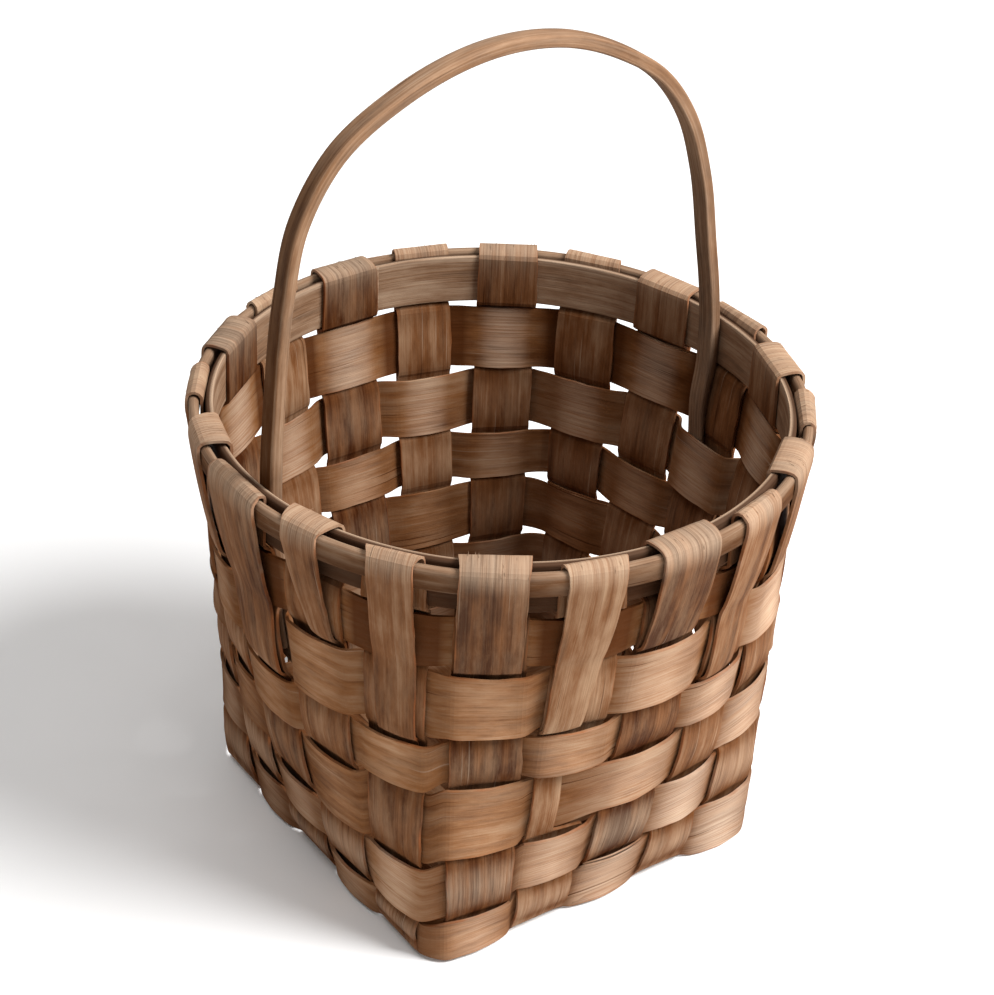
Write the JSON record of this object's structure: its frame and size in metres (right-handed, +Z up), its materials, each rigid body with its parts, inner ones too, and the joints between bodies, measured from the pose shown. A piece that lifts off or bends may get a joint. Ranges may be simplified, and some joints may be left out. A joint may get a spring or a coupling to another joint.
{
  "type": "woven splint basket with a fixed handle",
  "caption": "Open wooden splint basket with a square woven base, round folded rim and one fixed bentwood carrying handle.",
  "frame": {"origin": "middle of the underside of the square base, on the surface that the basket stands on", "axes": "+Z up, X along the handle from leg to leg, Y across it"},
  "size_m": [0.2524, 0.2524, 0.3576],
  "materials": {
    "stake_wood": "weathered split ash, raised grain, matt",
    "weaver_wood": "aged split ash, matt",
    "rim_wood": "shaved ash, worn smooth",
    "handle_wood": "shaved bentwood, worn by hands"
  },
  "bodies": {
    "root": {"base_splint_y1": "stake_wood", "base_splint_y2": "stake_wood", "base_splint_y3": "stake_wood", "base_splint_y4": "stake_wood", "base_splint_y5": "stake_wood", "base_splint_x1": "stake_wood", "base_splint_x2": "stake_wood", "base_splint_x3": "stake_wood", "base_splint_x4": "stake_wood", "base_splint_x5": "stake_wood", "weaver_row_1": "weaver_wood", "weaver_row_2": "weaver_wood", "weaver_row_3": "weaver_wood", "weaver_row_4": "weaver_wood", "weaver_row_5": "weaver_wood", "weaver_row_6": "weaver_wood", "inner_rim_band": "rim_wood", "outer_rim_hoop": "rim_wood", "handle": "handle_wood"}
  },
  "joints": []
}
